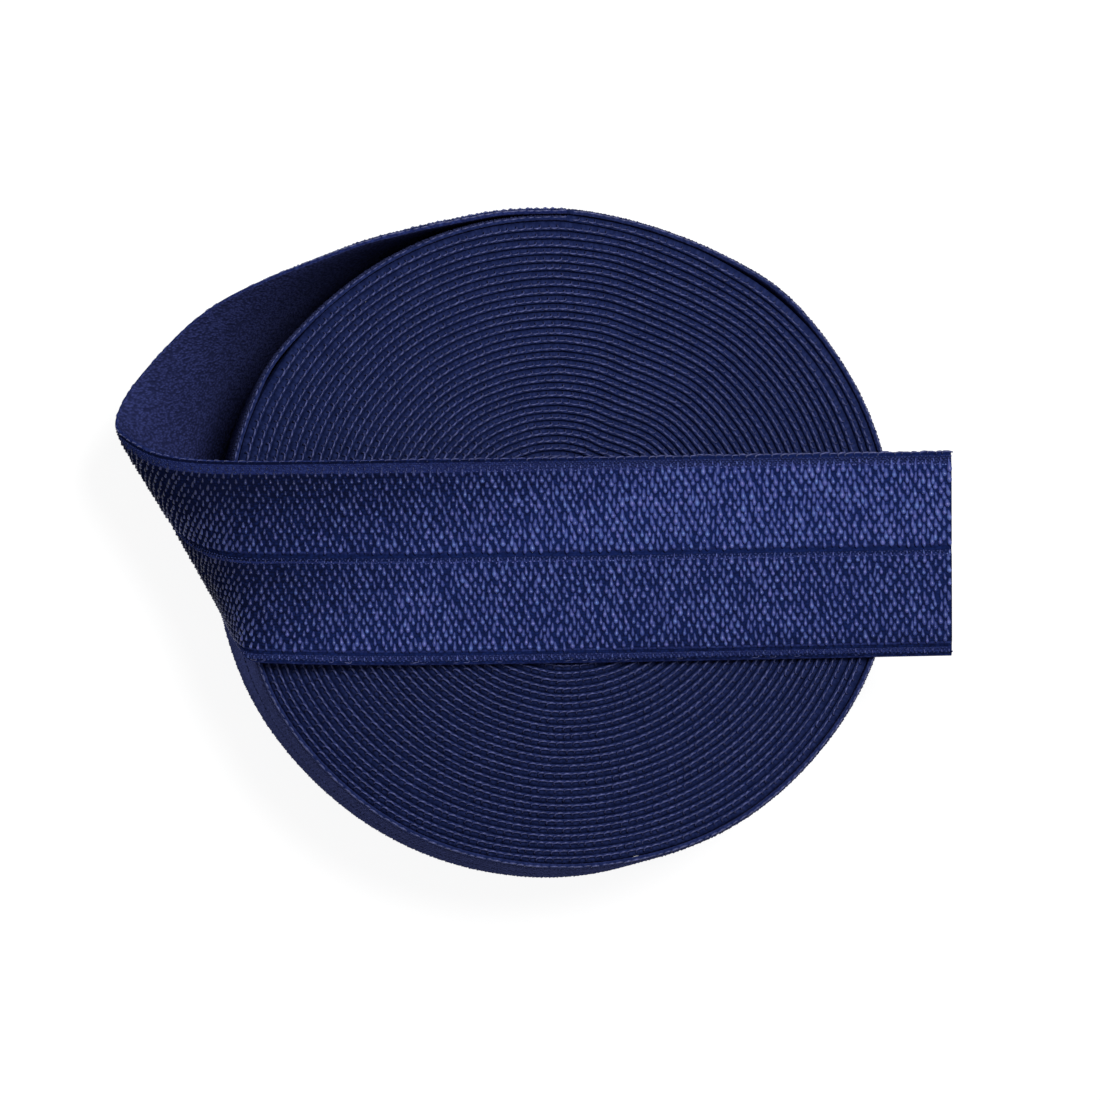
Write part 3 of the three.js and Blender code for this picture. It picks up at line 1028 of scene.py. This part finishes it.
def lay_stitches(sizes, stretch, prefix, rows, shapes, slot, step, depths):
    """Lays rows of stitches out on a stretch, one piece for each row of the table. The step along
    the tape and the depths across it are those of the face that they are laid out on."""
    tree = bpy.data.node_groups.get("Stitches on tape") or stitch_tree()
    for number, stitch in enumerate(rows):
        spacing = stitch.spacing * sizes.stitch_spacing
        piece = from_nodes(
            f"{prefix}_{stitch.part}",
            carrier(stretch, step, depths),
            tree,
            {
                "Yarn shape": shapes[stitch.shape],
                "Columns": int(stretch.length / spacing + 0.6),
                "Rows": stitch.rows,
                "Column spacing": spacing,
                "Row pitch": stitch.pitch * sizes.row_pitch,
                "First run": (0.5 + stitch.shift) * spacing,
                "First depth": stitch.first_depth * MM,
                "Stagger": 0.5,
                "Rise": stitch.out * MM,
                "Turn": math.radians(stitch.turn),
                "Slant spread": math.radians(10),
                "Place spread": (SATIN_STRAY if stitch.yarn == "satin" else GROUND_STRAY) * MM,
                "Size spread": 0.24,
                "Seed": sizes.seed + 10 * number,
                "Material": material_for(stitch.yarn),
            },
        )
        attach(piece, "root")


def tape_sheet(name, stretch, step, materials):
    """The tape itself as a thin closed sheet along a stretch. Its materials are those of its
    edges, of its plush side, of the ground under its floats, and of its selvedges."""
    cut = np.array(TAPE_CUT)
    across = np.unique(np.concatenate([cut[:, 0], FIELD_DEPTHS]))
    satin, plush = (np.interp(across, cut[:, 0], cut[:, side]) for side in (1, 2))
    depths = np.concatenate([across, across[::-1]])
    offsets = np.concatenate([satin, plush[::-1]]) * MM
    runs, run, depth = flat_grid(stretch.length, step, depths)
    points, outward, _ = stretch.at(run, depth)
    points = points + outward * np.tile(offsets, len(runs))[:, None]
    ring = len(depths)
    faces = grid_faces(len(runs), ring, closed=True)
    half = len(across)
    last = len(faces)  # which is also the number of the last row's first point

    # Both cut ends are closed
    for j in range(half - 1):
        faces.append((j, j + 1, ring - 2 - j, ring - 1 - j))
        faces.append((last + j, last + ring - 1 - j, last + ring - 2 - j, last + j + 1))
    mesh = build_mesh(name, points, faces)
    set_attribute(mesh, "fullness", stretch.fullness(run, depth))
    set_flat_places(mesh, np.stack([run, depth], axis=1))
    for kind in materials:
        mesh.materials.append(material_for(kind))
    middles = (satin[:-1] + satin[1:]) / 2
    under_floats = (middles > FIELD_LEAST) | (middles < GROOVE_MOST)
    satin_kinds = np.where(under_floats, FIELD_CLOTH, SELVEDGE_CLOTH)
    satin_kinds[[0, -1]] = EDGE_CLOTH
    plush_kinds = np.full(half - 1, PLUSH_CLOTH)
    ring_kinds = np.concatenate([satin_kinds, [EDGE_CLOTH], plush_kinds, [EDGE_CLOTH]])
    kinds = np.full(len(mesh.polygons), EDGE_CLOTH, np.int32)
    kinds[:last] = np.tile(ring_kinds, len(runs) - 1)
    mesh.polygons.foreach_set("material_index", kinds)
    mesh.polygons.foreach_set("use_smooth", np.arange(len(mesh.polygons)) < last)
    piece = new_object(name, mesh)
    face_outwards(piece)
    return piece


class TapeOperator:
    """What the operators share: they can be undone, and they read the tape's sizes"""

    bl_options = {"REGISTER", "UNDO"}

    @property
    def sizes(self):
        return bpy.context.scene.tape_sizes


class ELASTICTAPE_OT_stitches(TapeOperator, bpy.types.Operator):
    """Lay the satin floats, the fold line's stitches and the edge stitches on the tape"""

    bl_idname = "elastic_tape.stitches"
    bl_label = "Stitches"

    def execute(self, context):
        fine = {
            "float": yarn_shape("satin_float", SATIN_FLOAT, 5),
            "edge": yarn_shape("edge_stitch", EDGE_STITCH, 4),
            "laid_edge": yarn_shape("laid_edge_stitch", LAID_EDGE_STITCH, 4),
            "tick": yarn_shape("tick", TICK, 4),
            "dot": yarn_shape("column_head", DOT, 5),
            "grain": yarn_shape("ground_loop", GRAIN, 4),
        }
        plain = {
            "float": yarn_shape("wall_float", WALL_FLOAT, 5),
            "edge": yarn_shape("plain_edge_stitch", PLAIN_EDGE_STITCH, 3),
        }
        shapes = [*fine.values(), *plain.values()]
        face = {**fine, "edge": fine["laid_edge"]}
        wall = {**face, "float": plain["float"]}
        inner, outermost = wound_stretches(self.sizes)
        loose = loose_stretch()
        edges = (0, ROLL_HEIGHT)
        across = np.linspace(0, ROLL_HEIGHT, 41)
        rubbed_rows = [row._replace(yarn="wall") for row in FACE_ROWS]
        for layout in (
            (inner, "turns", EDGE_ROWS[:1], fine, "tape_turns", 1, edges),
            (inner, "turns", EDGE_ROWS[1:], plain, "tape_turns", 1, edges),
            (outermost, "outer", [*rubbed_rows, *EDGE_ROWS], wall, "tape_turns", 0.8, edges),
            (loose, "loose", FACE_ROWS + EDGE_ROWS, face, "tape_face", 0.5, across),
        ):
            lay_stitches(self.sizes, *layout)
        for shape in shapes:
            bpy.data.objects.remove(shape)
        return {"FINISHED"}


class ELASTICTAPE_OT_wound_turns(TapeOperator, bpy.types.Operator):
    """Wind the inner turns of the tape"""

    bl_idname = "elastic_tape.wound_turns"
    bl_label = "Wound turns"

    def execute(self, context):
        inner, outermost = wound_stretches(self.sizes)
        # Room from each turn to the one around it, of which what it needn't have is spare
        radii = np.linalg.norm(np.vstack([inner.upper[:-1], outermost.upper])[:, :2], axis=1)
        rooms = (radii[360:] - radii[:-360])[: len(inner.upper)]
        runs = np.linspace(0, inner.length, round(inner.length / (WOUND_STEP * MM)) + 1)
        spare = np.interp(runs, inner.upper_run[: len(rooms)], rooms) - LEAST_SPACING * MM
        upper, lower = (inner.at(runs, 0 * runs + depth * MM)[0] for depth in (0, ROLL_HEIGHT))
        lean = np.linalg.norm(upper[:, :2], axis=1) - np.linalg.norm(lower[:, :2], axis=1)
        links = [(i, i + 1) for i in range(len(runs) - 1)]
        path = build_mesh("tape_path", (upper + lower) / 2, edges=links)
        set_attribute(path, "lean", lean)
        set_attribute(path, "run", runs)
        set_attribute(path, "spare", np.clip(spare, 0, MOST_SWELL * MM))

        # The cross-section that is swept along the path
        ring = [(cut.satin, cut.depth) for cut in WOUND_CUT]
        ring += [(cut.plush, cut.depth) for cut in reversed(WOUND_CUT)]
        points = [(side * MM, (depth - ROLL_HEIGHT / 2) * MM, 0) for side, depth in ring]
        closed = [(i, (i + 1) % len(ring)) for i in range(len(ring))]
        section = build_mesh("tape_section", points, edges=closed)
        set_attribute(section, "depth", [depth * MM for _, depth in ring])
        set_attribute(section, "swells", [float(side > SWELLS_FROM) for side, _ in ring])
        section_object = new_object("tape_section", section)
        values = {
            "Cross-section": section_object,
            "Tape width": ROLL_HEIGHT * MM,
            "Material": material_for("wound"),
        }
        turns = from_nodes("wound_turns", path, sweep_tree(), values)
        bpy.data.objects.remove(section_object)
        face_outwards(turns)
        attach(turns, "root")
        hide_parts("wound_roll")
        return {"FINISHED"}


class ELASTICTAPE_OT_outermost_turn(TapeOperator, bpy.types.Operator):
    """Wind the outermost turn, whose satin face shows as the roll's wall"""

    bl_idname = "elastic_tape.outermost_turn"
    bl_label = "Outermost turn"

    def execute(self, context):
        _, outermost = wound_stretches(self.sizes)
        cloths = ("wound", "plush", "rubbed", "rubbed")
        turn = tape_sheet("outermost_turn", outermost, OUTERMOST_STEP, cloths)
        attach(turn, "root")
        return {"FINISHED"}


class ELASTICTAPE_OT_loose_end(TapeOperator, bpy.types.Operator):
    """Loop the loose end out at the left and lay it across the top"""

    bl_idname = "elastic_tape.loose_end"
    bl_label = "Loose end"

    def execute(self, context):
        loose = loose_stretch()
        cloths = ("ground", "plush", "field", "ground")
        tape = tape_sheet("loose_end_tape", loose, LOOSE_STEP, cloths)
        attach(tape, "root")
        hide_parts("loose_end")
        return {"FINISHED"}


def aim(looker, place, target):
    """Stands a camera or light at a place, looking at a target, with +Y up in its view."""
    ahead = (target - place).normalized()
    right = ahead.cross(Vector((0, 1, 0))).normalized()
    up = right.cross(ahead)
    turn = Matrix((right, up, -ahead)).transposed().to_4x4()
    looker.matrix_world = Matrix.Translation(place) @ turn


class ELASTICTAPE_OT_stage(bpy.types.Operator):
    """Set the pale floor, the soft light and the camera"""

    bl_idname = "elastic_tape.stage"
    bl_label = "Stage"

    def execute(self, context):
        stage = context.scene.tape_stage
        side = stage.floor_size / 2
        corners = [(-side, -side, 0), (side, -side, 0), (side, side, 0), (-side, side, 0)]
        floor = new_object("pale_floor", build_mesh("pale_floor", corners, [(0, 1, 2, 3)]))
        # Frosted acrylic lit from below, whose even glow fills the roll's shadow
        glow = {"Emission Color": linear("#ffffff"), "Emission Strength": stage.table_glow}
        acrylic = {"Base Color": linear("#767676"), "Roughness": 0.9, **glow}
        floor.data.materials.append(finish_material(blank_material("White light table"), acrylic))

        world = bpy.data.worlds.new("White studio")
        world.use_nodes = True
        background = world.node_tree.nodes["Background"].inputs
        background["Strength"].default_value = stage.sky
        background["Color"].default_value = linear("#ffffff")
        context.scene.world = world

        key = new_object("key_light", bpy.data.lights.new("key_light", "AREA"))
        key.data.shape = "DISK"
        key.data.size = 0.35
        key.data.energy = stage.key_power
        aim(key, KEY_PLACE, KEY_TARGET)

        camera = new_object("photo_camera", bpy.data.cameras.new("photo_camera"))
        away = Vector(
            (
                math.sin(stage.tilt) * math.cos(stage.bearing),
                math.sin(stage.tilt) * math.sin(stage.bearing),
                math.cos(stage.tilt),
            )
        )
        aim(camera, VIEW_MIDDLE + away * stage.distance, VIEW_MIDDLE)
        camera.data.lens = camera.data.sensor_width * stage.distance / stage.view_width
        camera.data.clip_start, camera.data.clip_end = 0.01, 10
        context.scene.camera = camera
        context.scene.view_settings.view_transform = "Standard"
        return {"FINISHED"}


class ELASTICTAPE_PT_panel(bpy.types.Panel):
    """Sizes, colours and steps of the roll of elastic tape"""

    bl_idname = "ELASTICTAPE_PT_panel"
    bl_label = "Elastic Tape"
    bl_space_type = "VIEW_3D"
    bl_region_type = "UI"
    bl_category = "Elastic Tape"

    def draw(self, context):
        for settings in (context.scene.tape_sizes, context.scene.tape_colours, context.scene.tape_stage):
            box = self.layout.box()
            for name in settings.__annotations__:
                box.prop(settings, name)
        for step in STEPS:
            self.layout.operator(step.bl_idname)


STEPS = (
    ELASTICTAPE_OT_stitches,
    ELASTICTAPE_OT_wound_turns,
    ELASTICTAPE_OT_outermost_turn,
    ELASTICTAPE_OT_loose_end,
    ELASTICTAPE_OT_stage,
)
CLASSES = (TapeSizes, TapeColours, StageSettings, *STEPS, ELASTICTAPE_PT_panel)


def register():
    for kind in CLASSES:
        bpy.utils.register_class(kind)
    bpy.types.Scene.tape_sizes = bpy.props.PointerProperty(type=TapeSizes)
    bpy.types.Scene.tape_colours = bpy.props.PointerProperty(type=TapeColours)
    bpy.types.Scene.tape_stage = bpy.props.PointerProperty(type=StageSettings)


def unregister():
    for name in ("tape_sizes", "tape_colours", "tape_stage"):
        delattr(bpy.types.Scene, name)
    for kind in reversed(CLASSES):
        bpy.utils.unregister_class(kind)


def main():
    """Builds the roll and its stage."""
    register()
    bpy.ops.elastic_tape.stitches()
    bpy.ops.elastic_tape.wound_turns()
    bpy.ops.elastic_tape.outermost_turn()
    bpy.ops.elastic_tape.loose_end()
    bpy.ops.elastic_tape.stage()


if __name__ == "__main__":
    main()
